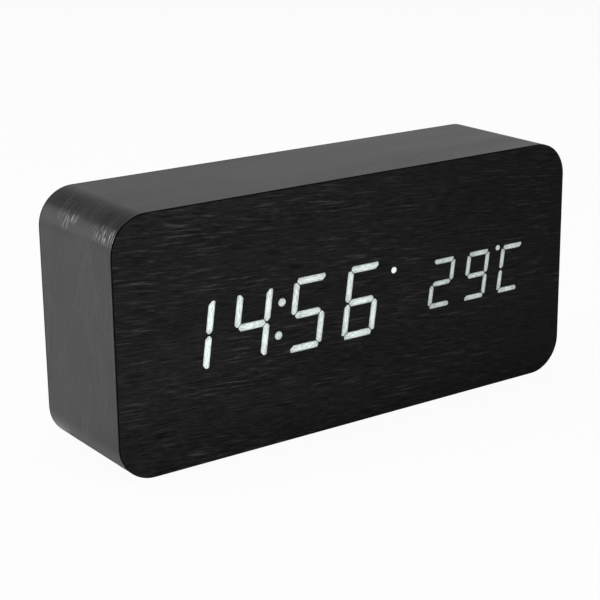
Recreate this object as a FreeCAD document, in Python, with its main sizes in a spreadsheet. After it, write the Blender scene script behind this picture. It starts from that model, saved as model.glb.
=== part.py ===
"""Block desk clock with glowing digits: a veneered MDF block, an LED display and a rear cover.

Origin at the middle of the underside, +X to the right along the length, the front faces -Y, +Z up.
"""
import FreeCAD, Part
import math
import os
import re
import Sketcher

Vector = FreeCAD.Vector
Rotation = FreeCAD.Rotation

doc = FreeCAD.newDocument("block_clock")
sheet = doc.addObject("Spreadsheet::Sheet", "sizes")

# Driving dimensions: millimetres, and degrees for digit_slant.
SIZES = (
    ("left_margin", 13.6, "from the block's left side to the time digits"),
    ("display_break", 13.0, "between the time and the temperature digits"),
    ("right_margin", 13.8, "from the temperature digits to the block's right side"),
    ("case_height", 69.5, "block, underside to top"),
    ("case_depth", 38.5, "block, front to rear"),
    ("corner_radius", 10.0, "rounding of the block's four long edges"),
    ("front_film", 0.5, "front veneer"),
    ("wrap_film", 0.4, "veneer round the sides and on the rear"),
    ("film_seam", 0.2, "butt joint of the wrap under the block"),
    ("front_wall", 6.0, "MDF left behind the front veneer"),
    ("side_wall", 8.0, "from the outside to the cavity"),
    ("cavity_radius", 12.0, "cutter radius in the cavity's corners"),
    ("rim_width", 5.0, "from the outside to the rear cover's rebate"),
    ("cover_thickness", 2.0, "rear cover's plate"),
    ("cover_inset", 0.5, "rear cover below the rear face"),
    ("cover_gap", 0.2, "round the rear cover"),
    ("screw_setback", 1.0, "cover screws, inside the cavity's sharp corner"),
    ("screw_shank", 1.1, "radius of cover and display screws"),
    ("screw_head", 2.1, "head radius"),
    ("screw_head_height", 1.2, "head height"),
    ("screw_length", 8.0, "under the head"),
    ("screw_slot", 0.6, "width of the cross recess"),
    ("head_gap", 0.3, "round a sunk screw head"),
    ("digit_slant", 8.0, "lean of the digits, degrees"),
    ("time_pitch", 17.8, "from time digit to time digit"),
    ("time_column", 9.2, "between a time digit's stroke centres"),
    ("time_row", 9.15, "from the middle stroke to the top stroke"),
    ("time_stroke", 1.95, "stroke width of the time digits"),
    ("colon_rise", 4.45, "colon dots above and below the middle"),
    ("colon_dot", 1.15, "radius"),
    ("indicator_reach", 10.3, "indicator dot, right of the last time digit"),
    ("upper_dot_rise", 6.65, "indicator and degree dots above the middle"),
    ("indicator_dot", 0.9, "radius"),
    ("warm_pitch", 12.8, "from temperature digit to digit"),
    ("warm_column", 6.9, "between a small digit's stroke centres"),
    ("warm_row", 6.3, "from the middle stroke to the top stroke"),
    ("warm_stroke", 1.45, "stroke width of the temperature digits"),
    ("degree_reach", 5.7, "degree dot, left of the last small digit"),
    ("degree_dot", 0.8, "radius"),
    ("segment_gap", 0.3, "half the gap between an upper and a lower upright stroke"),
    ("reflector_margin", 1.7, "display housing beyond the digits' places, left and right"),
    ("reflector_lip", 3.4, "display housing above and below the time digits"),
    ("reflector_gap", 0.2, "round the housing in its window"),
    ("diffuser_depth", 3.0, "resin in the front of each well"),
    ("chip_width", 1.0, "segment LED"),
    ("chip_height", 0.5, "segment LED"),
    ("chip_thickness", 0.6, "segment LED"),
    ("board_thickness", 1.6, "circuit boards"),
    ("display_board_lip", 2.0, "display board beyond its housing, left and right"),
    ("display_screw_inset", 3.0, "display screws from the housing's left and right ends"),
    ("display_screw_clear", 2.9, "display screws above and below the housing"),
    ("display_board_edge", 2.6, "display board beyond its screws, above and below"),
    ("pilot_depth", 4.0, "display screws' holes in the front wall"),
    ("pilot_spare", 0.4, "hole beyond a screw's tip"),
    ("socket_width", 13.0, "ribbon sockets"),
    ("socket_height", 4.5, "ribbon sockets"),
    ("socket_thickness", 5.0, "ribbon sockets"),
    ("ribbon_side", 7.0, "ribbon cable from the main board's centre"),
    ("ribbon_width", 10.0, "ribbon cable"),
    ("ribbon_thickness", 0.6, "ribbon cable"),
    ("ribbon_bend", 1.8, "bend radius on the centre line"),
    ("ribbon_drop", 4.0, "each socket above or below the middle"),
    ("package_height", 7.5, "chips, between their rows of pins"),
    ("package_thickness", 2.2, "chips"),
    ("driver_width", 18.0, "display driver chip"),
    ("driver_side", 20.0, "display driver, left of the display's middle"),
    ("processor_width", 13.0, "microcontroller"),
    ("processor_side", 13.0, "microcontroller from the board's centre"),
    ("processor_rise", 9.0, "microcontroller above the middle"),
    ("crystal_side", 6.0, "clock crystal from the board's centre"),
    ("crystal_rise", 9.0, "clock crystal above the middle"),
    ("crystal_width", 10.0, "clock crystal's can"),
    ("crystal_height", 3.6, "clock crystal's can"),
    ("crystal_stand", 3.5, "clock crystal's top from the board"),
    ("crystal_lip", 0.5, "its base plate: thickness, and reach beyond the can"),
    ("capacitor_side", 19.0, "capacitor from the board's centre"),
    ("capacitor_rise", 8.0, "capacitor above the middle"),
    ("capacitor_radius", 3.15, "capacitor"),
    ("capacitor_length", 7.5, "capacitor"),
    ("capacitor_foot", 1.1, "from the board to the capacitor's groove"),
    ("capacitor_groove", 0.5, "width of the groove, and twice its depth"),
    ("main_board_width", 58.0, "main board"),
    ("main_board_margin", 5.0, "main board from the cavity's right side"),
    ("main_board_clear", 4.75, "main board from the cavity's top and bottom"),
    ("post_height", 6.0, "main board from the cover"),
    ("post_radius", 2.5, "board posts"),
    ("post_inset", 3.0, "posts from the board's edges"),
    ("board_screw_shank", 0.9, "radius"),
    ("board_screw_head", 1.8, "radius"),
    ("board_screw_length", 5.5, "under the head"),
    ("button_pitch", 15.0, "from button to button"),
    ("button_rise", 12.0, "buttons above the middle"),
    ("button_radius", 3.2, "button cap"),
    ("button_gap", 0.1, "running fit of a cap in the cover"),
    ("button_proud", 0.3, "cap beyond the cover's face"),
    ("button_dish", 0.4, "depth of the cap's dish"),
    ("button_rim", 0.8, "rim round the cap's dish"),
    ("flange_radius", 4.2, "cap's flange behind the cover"),
    ("flange_thickness", 0.8, "cap's flange"),
    ("flange_gap", 0.05, "between the flange and the cover"),
    ("button_travel", 0.4, "full press"),
    ("switch_width", 6.0, "push switch, square"),
    ("switch_height", 3.5, "push switch above the board"),
    ("plunger_radius", 1.7, "push switch's stem"),
    ("plunger_gap", 0.1, "running fit of the stem"),
    ("plunger_proud", 0.8, "stem above the switch"),
    ("plunger_depth", 1.2, "stem inside the switch"),
    ("stem_radius", 1.5, "cap's stem down to the switch"),
    ("jack_side", 19.0, "power socket from the board's centre"),
    ("jack_drop", 13.5, "power socket below the middle"),
    ("jack_width", 8.0, "power socket, square"),
    ("jack_gap", 0.2, "round the power socket in the cover"),
    ("jack_bore", 1.8, "radius of the socket's mouth"),
    ("jack_depth", 6.8, "depth of the mouth"),
    ("jack_pin", 0.65, "radius of the centre pin"),
    ("jack_pin_setback", 1.0, "pin's tip below the mouth"),
    ("buzzer_side", 15.0, "buzzer from the board's centre"),
    ("buzzer_drop", 12.5, "buzzer below the middle"),
    ("buzzer_radius", 6.0, "buzzer can"),
    ("buzzer_clear", 0.4, "buzzer can from the cover"),
    ("buzzer_mouth", 1.0, "radius of the buzzer's own hole"),
    ("buzzer_mouth_depth", 1.5, "depth of the buzzer's own hole"),
    ("sound_hole", 0.7, "radius"),
    ("sound_ring", 3.2, "radius of the ring of sound holes"),
    ("microphone_side", 1.0, "microphone from the board's centre"),
    ("microphone_drop", 9.0, "microphone below the middle"),
    ("microphone_radius", 3.0, "microphone can"),
    ("microphone_height", 3.0, "microphone can"),
    ("microphone_felt", 1.8, "radius of the felt in its mouth"),
    ("microphone_rim", 0.3, "felt below the can's rim"),
    ("sensor_side", 7.0, "temperature sensor from the board's centre"),
    ("sensor_drop", 18.0, "temperature sensor below the middle"),
    ("sensor_bead", 1.2, "radius"),
    ("sensor_reach", 4.0, "bead's centre above the board"),
    ("sensor_lead", 0.25, "radius"),
    ("sensor_spread", 0.6, "each lead from the bead's middle"),
    ("vent_width", 1.2, "air slots"),
    ("vent_height", 7.0, "air slots"),
    ("vent_pitch", 2.6, "air slots"),
    ("cell_radius", 5.15, "battery cell"),
    ("cell_length", 43.3, "battery cell without its cap"),
    ("cell_cap_radius", 1.9, "battery cell's cap"),
    ("cell_cap_length", 1.0, "battery cell's cap"),
    ("cell_edge", 0.5, "rounding of a cell's ends"),
    ("cell_gap", 0.4, "between cells"),
    ("contact_thickness", 0.4, "contact plates"),
    ("contact_width", 7.0, "contact plates"),
    ("spring_length", 5.0, "battery spring, cell in place"),
    ("spring_radius", 2.9, "battery spring's coil"),
    ("spring_wire", 0.35, "radius"),
    ("spring_turns", 3.0, "battery spring"),
    ("bay_margin", 7.0, "battery bay from the cavity's left side"),
    ("bay_rise", 1.0, "battery bay above the middle"),
    ("bay_wall", 1.2, "walls of the bay"),
    ("cell_play", 0.7, "cells between the door and the bay's floor"),
    ("door_thickness", 1.6, "battery door"),
    ("door_ledge", 1.5, "door beyond the bay"),
    ("door_gap", 0.15, "round the door"),
    ("door_seat_gap", 0.1, "under the door"),
    ("hinge_radius", 1.25, "barrel along the door's lower edge"),
    ("hinge_gap", 0.3, "round the barrel"),
    ("hinge_pin", 0.7, "radius of the door's two pins"),
    ("hinge_pin_gap", 0.08, "running fit of the pins"),
    ("hinge_pin_length", 1.2, "pins beyond the barrel"),
    ("hinge_pin_spare", 0.3, "holes beyond the pins' ends"),
    ("notch_width", 14.0, "finger notch over the door"),
    ("notch_height", 2.0, "finger notch over the door"),
    ("notch_depth", 1.2, "finger notch over the door"),
    ("grip_width", 12.0, "ribs on the door"),
    ("grip_height", 0.8, "ribs on the door"),
    ("grip_proud", 0.3, "ribs on the door"),
    ("grip_pitch", 2.0, "ribs on the door"),
    ("grip_setback", 3.0, "first rib below the door's top"),
    ("lead_radius", 0.6, "battery leads"),
    ("lead_bend", 1.2, "bend radius on the centre line"),
    ("lead_clear", 1.0, "lead's centre from the bay's walls"),
    ("lead_run", 3.0, "lead's first run, out of the bay"),
    ("lead_inset", 5.0, "leads' pads from the main board's left edge"),
)
for row, (alias, value, meaning) in enumerate(SIZES, start=1):
    sheet.set(f"A{row}", meaning)
    sheet.set(f"B{row}", str(value))
    sheet.setAlias(f"B{row}", alias)
doc.recompute()

ALIASES = {alias for alias, value, meaning in SIZES}

# Places that several pieces share, worked out from the sizes.
PLACES = {
    "case_width": "left_margin + 4 * time_pitch + display_break + 3 * warm_pitch + right_margin",
    "middle": "case_height / 2",
    "face": "-case_depth / 2",
    "rear": "case_depth / 2",
    "block_front": "face + front_film",
    "block_rear": "rear - wrap_film",
    "wall_back": "block_front + front_wall",
    "cover_back": "rear - cover_inset",
    "cover_front": "cover_back - cover_thickness",
    "block_round": "max(corner_radius - wrap_film; 0.5)",
    "rebate_width": "case_width - 2 * rim_width",
    "rebate_height": "case_height - 2 * rim_width",
    "rebate_round": "max(corner_radius - rim_width; 0.5)",
    "cavity_width": "case_width - 2 * side_wall",
    "cavity_height": "case_height - 2 * side_wall",
    "cover_screw_side": "cavity_width / 2 - screw_setback",
    "cover_screw_rise": "cavity_height / 2 - screw_setback",
    "cover_sink": "cover_back - screw_head_height",
    "time_left": "left_margin - case_width / 2",
    "time_first": "time_left + time_pitch / 2",
    "colon_place": "time_left + 2 * time_pitch",
    "indicator_place": "time_left + 3.5 * time_pitch + indicator_reach",
    "warm_first": "time_left + 4 * time_pitch + display_break + warm_pitch / 2",
    "warm_right": "case_width / 2 - right_margin",
    "degree_place": "warm_right - warm_pitch / 2 - degree_reach",
    "display_place": "(time_left + warm_right) / 2",
    "reflector_width": "warm_right - time_left + 2 * reflector_margin",
    "reflector_height": "2 * (time_row + time_stroke / 2 + reflector_lip)",
    "display_board_width": "reflector_width + 2 * display_board_lip",
    "display_screw_side": "reflector_width / 2 - display_screw_inset",
    "display_screw_rise": "reflector_height / 2 + display_screw_clear",
    "display_board_height": "2 * (display_screw_rise + display_board_edge)",
    "display_screw_length": "board_thickness + pilot_depth - pilot_spare",
    "display_back": "wall_back + board_thickness",
    "main_board_height": "cavity_height - 2 * main_board_clear",
    "main_board_place": "cavity_width / 2 - main_board_margin - main_board_width / 2",
    "ribbon_place": "main_board_place - ribbon_side",
    "main_back": "cover_front - post_height",
    "main_front": "main_back - board_thickness",
    "post_side": "main_board_width / 2 - post_inset",
    "post_rise": "main_board_height / 2 - post_inset",
    "button_level": "middle + button_rise",
    "switch_top": "main_back + switch_height",
    "flange_back": "cover_front - flange_gap",
    "flange_front": "flange_back - flange_thickness",
    "plunger_top": "switch_top + plunger_proud",
    "cap_top": "cover_back + button_proud",
    "jack_place": "main_board_place + jack_side",
    "jack_level": "middle - jack_drop",
    "jack_back": "cover_back - jack_gap",
    "buzzer_place": "main_board_place - buzzer_side",
    "buzzer_level": "middle - buzzer_drop",
    "buzzer_back": "cover_front - buzzer_clear",
    "microphone_place": "main_board_place + microphone_side",
    "microphone_level": "middle - microphone_drop",
    "sensor_place": "main_board_place + sensor_side",
    "sensor_level": "middle - sensor_drop",
    "bay_length": "cell_length + cell_cap_length + spring_length + 2 * contact_thickness",
    "bay_height": "3 * (2 * cell_radius + cell_gap)",
    "bay_level": "middle + bay_rise",
    "bay_bottom": "bay_level - bay_height / 2",
    "bay_left": "bay_margin - cavity_width / 2",
    "bay_place": "bay_left + bay_length / 2",
    "bay_right": "bay_left + bay_length",
    "bay_depth": "2 * cell_radius + cell_play",
    "door_front": "cover_back - door_thickness",
    "door_seat": "door_front - door_seat_gap",
    "bay_floor": "door_seat - bay_depth",
    "tub_front": "bay_floor - bay_wall",
    "door_width": "bay_length + 2 * door_ledge",
    "hinge_level": "bay_bottom - bay_wall - hinge_radius - hinge_gap",
    "hinge_depth": "cover_back - hinge_radius",
    "door_top": "bay_level + bay_height / 2 + door_ledge",
    "door_height": "door_top - hinge_level",
    "door_level": "(door_top + hinge_level) / 2",
    "trough_floor": "hinge_depth - hinge_radius - hinge_gap",
    "trough_height": "2 * (hinge_radius + hinge_gap)",
    "trough_bottom": "hinge_level - hinge_radius - hinge_gap",
    "cell_pitch": "2 * cell_radius + cell_gap",
    "cell_depth": "(door_front + bay_floor) / 2",
}


def spell(text):
    """An expression with each size as its sheet cell and each shared place worked out."""
    def swap(match):
        word = match.group()
        if word in PLACES:
            return f"({spell(PLACES[word])})"
        return f"sizes.{word}" if word in ALIASES else word
    return re.sub(r"[a-z][a-z_]*", swap, text)


def bind(thing, prop, text):
    """Bind a property to an expression of sizes and places."""
    thing.setExpression(prop, spell(text))


def size(text):
    """The number that an expression of sizes and places gives now."""
    return float(sheet.evalExpression(spell(text)))


def body(name):
    """A new PartDesign body, named after its piece."""
    return doc.addObject("PartDesign::Body", name)


def outline(piece, x, z, y):
    """A sketch on the plane that faces the front at depth y, with its own origin at x, z."""
    drawing = piece.newObject("Sketcher::SketchObject", f"{piece.Name}_outline")
    plane = next(f for f in piece.Origin.OriginFeatures if f.Role == "XZ_Plane")
    drawing.AttachmentSupport = [(plane, "")]
    drawing.MapMode = "FlatFace"
    bind(drawing, "AttachmentOffset.Base.x", x)
    bind(drawing, "AttachmentOffset.Base.y", z)
    bind(drawing, "AttachmentOffset.Base.z", f"-({y})")
    return drawing


def dimension(drawing, constraint, text):
    """Add a dimension whose value follows an expression."""
    index = drawing.addConstraint(constraint)
    drawing.setExpression(f"Constraints[{index}]", spell(text))


def draw_rectangle(drawing, width, height):
    """A rectangle about the sketch's origin."""
    w, t = size(width) / 2, size(height) / 2
    corners = [Vector(-w, -t, 0), Vector(w, -t, 0), Vector(w, t, 0), Vector(-w, t, 0)]
    for i in range(4):
        drawing.addGeometry(Part.LineSegment(corners[i], corners[(i + 1) % 4]))
    for i in range(4):
        drawing.addConstraint(Sketcher.Constraint("Coincident", i, 2, (i + 1) % 4, 1))
    for i, kind in enumerate(("Horizontal", "Vertical", "Horizontal", "Vertical")):
        drawing.addConstraint(Sketcher.Constraint(kind, i))
    drawing.addConstraint(Sketcher.Constraint("Symmetric", 0, 1, 2, 1, -1, 1))
    dimension(drawing, Sketcher.Constraint("DistanceX", 0, 1, 0, 2, 2 * w), width)
    dimension(drawing, Sketcher.Constraint("DistanceY", 1, 1, 1, 2, 2 * t), height)


def draw_circle(drawing, radius):
    """A circle about the sketch's origin."""
    drawing.addGeometry(Part.Circle(Vector(0, 0, 0), Vector(0, 0, 1), size(radius)))
    drawing.addConstraint(Sketcher.Constraint("Coincident", 0, 3, -1, 1))
    dimension(drawing, Sketcher.Constraint("Radius", 0, size(radius)), radius)


def extrude(piece, drawing, y_from, y_to, cut):
    """Pad or pocket a sketch that lies at y_from, rearwards to y_to."""
    before = 0 if piece.Shape.isNull() else piece.Shape.Volume
    kind = "Pocket" if cut else "Pad"
    feature = piece.newObject(f"PartDesign::{kind}", f"{piece.Name}_{kind.lower()}")
    feature.Profile = drawing
    feature.Reversed = not cut
    bind(feature, "Length", f"({y_to}) - ({y_from})")
    doc.recompute()
    change = piece.Shape.Volume - before
    if (change >= 0) if cut else (change <= 0):
        raise RuntimeError(f"{feature.Name} leaves {piece.Name} as it was")
    return feature


def add_block(piece, x, z, width, height, y_from, y_to):
    drawing = outline(piece, x, z, y_from)
    draw_rectangle(drawing, width, height)
    return extrude(piece, drawing, y_from, y_to, cut=False)


def cut_block(piece, x, z, width, height, y_from, y_to):
    drawing = outline(piece, x, z, y_from)
    draw_rectangle(drawing, width, height)
    return extrude(piece, drawing, y_from, y_to, cut=True)


def add_round(piece, x, z, radius, y_from, y_to):
    drawing = outline(piece, x, z, y_from)
    draw_circle(drawing, radius)
    return extrude(piece, drawing, y_from, y_to, cut=False)


def cut_round(piece, x, z, radius, y_from, y_to):
    drawing = outline(piece, x, z, y_from)
    draw_circle(drawing, radius)
    return extrude(piece, drawing, y_from, y_to, cut=True)


def round_corners(piece, feature, x, z, width, height, radius):
    """Fillet the four front-to-rear edges at a rectangle's corners."""
    names = []
    for i, edge in enumerate(feature.Shape.Edges, start=1):
        frame = edge.BoundBox
        lengthways = frame.XLength < 1e-6 and frame.ZLength < 1e-6
        off_x = abs(frame.Center.x - size(x)) - size(width) / 2
        off_z = abs(frame.Center.z - size(z)) - size(height) / 2
        if lengthways and abs(off_x) < 1e-4 and abs(off_z) < 1e-4:
            names.append(f"Edge{i}")
    fillet = piece.newObject("PartDesign::Fillet", f"{piece.Name}_fillet")
    fillet.Base = (feature, names)
    bind(fillet, "Radius", radius)
    doc.recompute()
    return fillet


def box(name, x, z, width, height, y_from, y_to):
    """A block with its middle at x, z, from one depth to another."""
    block = doc.addObject("Part::Box", name)
    bind(block, "Length", width)
    bind(block, "Width", f"({y_to}) - ({y_from})")
    bind(block, "Height", height)
    bind(block, "Placement.Base.x", f"({x}) - ({width}) / 2")
    bind(block, "Placement.Base.y", y_from)
    bind(block, "Placement.Base.z", f"({z}) - ({height}) / 2")
    return block


def rod(name, x, z, radius, y_from, y_to):
    """A round bar along Y."""
    bar = doc.addObject("Part::Cylinder", name)
    bar.Placement = FreeCAD.Placement(Vector(), Rotation(Vector(1, 0, 0), -90))
    bind(bar, "Radius", radius)
    bind(bar, "Height", f"({y_to}) - ({y_from})")
    bind(bar, "Placement.Base.x", x)
    bind(bar, "Placement.Base.y", y_from)
    bind(bar, "Placement.Base.z", z)
    return bar


def bar_across(name, y, z, radius, x_from, x_to):
    """A round bar along X."""
    bar = doc.addObject("Part::Cylinder", name)
    bar.Placement = FreeCAD.Placement(Vector(), Rotation(Vector(0, 1, 0), 90))
    bind(bar, "Radius", radius)
    bind(bar, "Height", f"({x_to}) - ({x_from})")
    bind(bar, "Placement.Base.x", x_from)
    bind(bar, "Placement.Base.y", y)
    bind(bar, "Placement.Base.z", z)
    return bar


def cut(name, base, tool):
    """One object less another."""
    result = doc.addObject("Part::Cut", name)
    result.Base = base
    result.Tool = tool
    doc.recompute()
    return result


def fuse(name, pieces):
    """Several touching objects as one solid."""
    result = doc.addObject("Part::MultiFuse", name)
    result.Shapes = pieces
    result.Refine = True
    doc.recompute()
    return result


def group(name, pieces):
    """Several separate solids as one node."""
    result = doc.addObject("Part::Compound", name)
    result.Links = pieces
    doc.recompute()
    return result


def feature(name, shape):
    """A shape worked out by Part's own functions."""
    result = doc.addObject("Part::Feature", name)
    result.Shape = shape
    return result


def corners(x, side, level, rise):
    """The four corners of a screw pattern."""
    return [(f"({x}) + {i} * ({side})", f"({level}) + {k} * ({rise})") for i in (-1, 1) for k in (-1, 1)]


pieces = []


def keep(piece, name):
    """List a finished piece under its node's name."""
    piece.Label = name
    pieces.append(piece)
    return piece


# Case block: MDF, routed hollow from the rear, with a window for the display in its front wall.
block = body("block")
blank = add_block(block, "0", "middle", "case_width - 2 * wrap_film", "case_height - 2 * wrap_film",
                  "block_front", "block_rear")
round_corners(block, blank, "0", "middle", "case_width - 2 * wrap_film", "case_height - 2 * wrap_film",
              "block_round")
cavity = cut_block(block, "0", "middle", "cavity_width", "cavity_height", "wall_back", "block_rear")
round_corners(block, cavity, "0", "middle", "cavity_width", "cavity_height", "cavity_radius")
rebate = cut_block(block, "0", "middle", "rebate_width", "rebate_height", "cover_front", "block_rear")
round_corners(block, rebate, "0", "middle", "rebate_width", "rebate_height", "rebate_round")
cut_block(block, "display_place", "middle", "reflector_width + 2 * reflector_gap",
          "reflector_height + 2 * reflector_gap", "block_front", "wall_back")
for x, z in corners("0", "cover_screw_side", "middle", "cover_screw_rise"):
    cut_round(block, x, z, "screw_shank", "cover_sink - screw_length", "cover_front")
display_screw_places = corners("display_place", "display_screw_side", "middle", "display_screw_rise")
for x, z in display_screw_places:
    cut_round(block, x, z, "screw_shank", "wall_back - pilot_depth", "wall_back")
keep(block, "case_block")

# Veneer wrapped round the sides, butted together under the block.
wrap = body("wrap")
blank = add_block(wrap, "0", "middle", "case_width", "case_height", "block_front", "block_rear")
round_corners(wrap, blank, "0", "middle", "case_width", "case_height", "corner_radius")
core = body("wrap_core")
blank = add_block(core, "0", "middle", "case_width - 2 * wrap_film", "case_height - 2 * wrap_film",
                  "block_front", "block_rear")
round_corners(core, blank, "0", "middle", "case_width - 2 * wrap_film", "case_height - 2 * wrap_film",
              "block_round")
seam = box("seam", "0", "0", "film_seam", "3 * wrap_film", "block_front", "block_rear")
keep(cut("wrap_butted", cut("wrap_band", wrap, core), seam), "wrap_veneer")

# Veneer ring on the rear, round the cover's rebate.
ring = body("ring")
blank = add_block(ring, "0", "middle", "case_width", "case_height", "block_rear", "rear")
round_corners(ring, blank, "0", "middle", "case_width", "case_height", "corner_radius")
inside = cut_block(ring, "0", "middle", "rebate_width", "rebate_height", "block_rear", "rear")
round_corners(ring, inside, "0", "middle", "rebate_width", "rebate_height", "rebate_round")
keep(ring, "rear_veneer")

# Strokes of the digits. Each stroke is a bar with bevelled ends, so that strokes meet on a mitre with
# a gap between them, and with its outer corners snubbed; both are shares of half a stroke's width.
STROKES = "abcdefg"
BEVEL, SNUB = 0.75, 0.3
LIT = {"1": "bc", "4": "fgbc", "5": "afgcd", "6": "afgecd", "2": "abged", "9": "abfgcd", "C": "afed"}
TIME_SHOWN = "1456"
WARM_SHOWN = "29C"


def stroke_points(stroke, column, row, width, gap):
    """One stroke's outline about its digit's centre, upright."""
    half = width / 2
    bevel, snub = BEVEL * half, SNUB * half
    low, high = gap, row - gap
    reach = column / 2
    if stroke == "g":
        reach -= 2 * (half - bevel)
        return [(-reach, bevel - half), (bevel - reach, -half), (reach - bevel, -half),
                (reach, bevel - half), (reach, half - bevel), (reach - bevel, half),
                (bevel - reach, half), (-reach, half - bevel)]
    if stroke in "ad":
        points = [(-reach, row), (half - reach, row - half), (reach - half, row - half), (reach, row),
                  (reach - snub, row + half), (snub - reach, row + half)]
        return points if stroke == "a" else [(x, -z) for x, z in points]
    inner, outer = column / 2 - half, column / 2 + half
    points = [(inner, low + bevel), (inner + bevel, low), (outer - bevel, low), (outer, low + bevel),
              (outer, high - snub), (outer - snub, high), (inner + half, high),
              (inner, high - half)]
    side = 1 if stroke in "bc" else -1
    rise = 1 if stroke in "bf" else -1
    return [(side * x, rise * z) for x, z in points]


def lean(x, z):
    """A point of the display, leaning with the digits; z counts from the middle row."""
    return x + z * math.tan(math.radians(size("digit_slant"))), z + size("middle")


def prism(points, y_from, y_to):
    """A straight prism on a closed outline that faces the front."""
    loop = [Vector(x, y_from, z) for x, z in points]
    face = Part.Face(Part.makePolygon(loop + loop[:1]))
    return face.extrude(Vector(0, y_to - y_from, 0))


def disc(x, rise, radius, y_from, y_to):
    """A round light at a place of the leaning display."""
    x, z = lean(x, rise)
    return Part.makeCylinder(radius, y_to - y_from, Vector(x, y_from, z), Vector(0, 1, 0))


def digit(kind, centre, strokes, y_from, y_to):
    """The strokes of one digit; kind is time or warm."""
    measures = [size(f"{kind}_{part}") for part in ("column", "row", "stroke")]
    gap = size("segment_gap")
    return [prism([lean(centre + x, z) for x, z in stroke_points(s, *measures, gap)], y_from, y_to)
            for s in strokes]


def time_lights(y_from, y_to, lit_only):
    """The four large digits, the colon and the indicator dot."""
    solids = []
    for i, shown in enumerate(TIME_SHOWN):
        centre = size(f"time_first + {i} * time_pitch")
        solids += digit("time", centre, LIT[shown] if lit_only else STROKES, y_from, y_to)
    for side in (-1, 1):
        solids.append(disc(size("colon_place"), side * size("colon_rise"), size("colon_dot"), y_from, y_to))
    solids.append(disc(size("indicator_place"), size("upper_dot_rise"), size("indicator_dot"), y_from, y_to))
    return solids


def warm_lights(y_from, y_to, lit_only):
    """The three small digits and the degree dot."""
    solids = []
    for i, shown in enumerate(WARM_SHOWN):
        centre = size(f"warm_first + {i} * warm_pitch")
        solids += digit("warm", centre, LIT[shown] if lit_only else STROKES, y_from, y_to)
    solids.append(disc(size("degree_place"), size("upper_dot_rise"), size("degree_dot"), y_from, y_to))
    return solids


# The places of the front veneer that glow, and the veneer round them.
time_glow = feature("time_glow", Part.makeCompound(time_lights(size("face"), size("block_front"), True)))
keep(time_glow, "time_glow")
warm_glow = feature("warm_glow", Part.makeCompound(warm_lights(size("face"), size("block_front"), True)))
keep(warm_glow, "temperature_glow")
front = body("front")
blank = add_block(front, "0", "middle", "case_width", "case_height", "face", "block_front")
round_corners(front, blank, "0", "middle", "case_width", "case_height", "corner_radius")
glow = group("glow", [time_glow, warm_glow])
keep(cut("front_film", front, glow), "front_veneer")

# Display housing: a black moulding with a well for every stroke and dot.
housing = box("housing", "display_place", "middle", "reflector_width", "reflector_height",
              "block_front", "wall_back")
wells = feature("wells", Part.makeCompound(
    time_lights(size("block_front"), size("wall_back"), False)
    + warm_lights(size("block_front"), size("wall_back"), False)))
keep(cut("reflector", housing, wells), "display_reflector")

# Resin light guides in the front of the wells.
guide_back = size("block_front + diffuser_depth")
time_guides = time_lights(size("block_front"), guide_back, False)
warm_guides = warm_lights(size("block_front"), guide_back, False)
keep(feature("time_guides", Part.makeCompound(time_guides)), "time_diffusers")
keep(feature("warm_guides", Part.makeCompound(warm_guides)), "temperature_diffusers")

# One LED on the display board in the middle of each well.
chips = []
for guide in time_guides + warm_guides:
    middle = guide.BoundBox.Center
    chip_w, chip_h, chip_t = size("chip_width"), size("chip_height"), size("chip_thickness")
    if guide.BoundBox.ZLength > guide.BoundBox.XLength:
        chip_w, chip_h = chip_h, chip_w
    corner = Vector(middle.x - chip_w / 2, size("wall_back") - chip_t, middle.z - chip_h / 2)
    chips.append(Part.makeBox(chip_w, chip_t, chip_h, corner))
keep(feature("chips", Part.makeCompound(chips)), "segment_leds")

# Display board, screwed to the back of the front wall.
board = body("board")
add_block(board, "display_place", "middle", "display_board_width", "display_board_height",
          "wall_back", "display_back")
for x, z in display_screw_places:
    cut_round(board, x, z, "screw_shank", "wall_back", "display_back")
keep(board, "display_board")


def screw(name, x, z, shank, head, head_height, length, seat, way):
    """A pan-head screw whose head sits at depth seat; way is 1 when the head faces the rear."""
    head_ends = [seat, f"({seat}) + {way} * ({head_height})"][::way]
    shank_ends = [f"({seat}) - {way} * ({length})", seat][::way]
    slot_ends = [f"({seat}) + {way} * ({head_height}) / 2", f"({seat}) + {way} * 2 * ({head_height})"][::way]
    solid = fuse(f"{name}_blank", [rod(f"{name}_head", x, z, head, *head_ends),
                                   rod(f"{name}_shank", x, z, shank, *shank_ends)])
    arms = fuse(f"{name}_arms", [
        box(f"{name}_arm", x, z, f"1.3 * ({head})", "screw_slot", *slot_ends),
        box(f"{name}_arm", x, z, "screw_slot", f"1.3 * ({head})", *slot_ends)])
    return cut(name, solid, arms)


def screws(name, places, shank, head, length, seat, way):
    """The same screw at each place, as one node."""
    return keep(group(name, [
        screw(f"{name}_{i}", x, z, shank, head, "screw_head_height", length, seat, way)
        for i, (x, z) in enumerate(places)]), name)


screws("display_screws", display_screw_places, "screw_shank", "screw_head", "display_screw_length",
       "display_back", 1)


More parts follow.
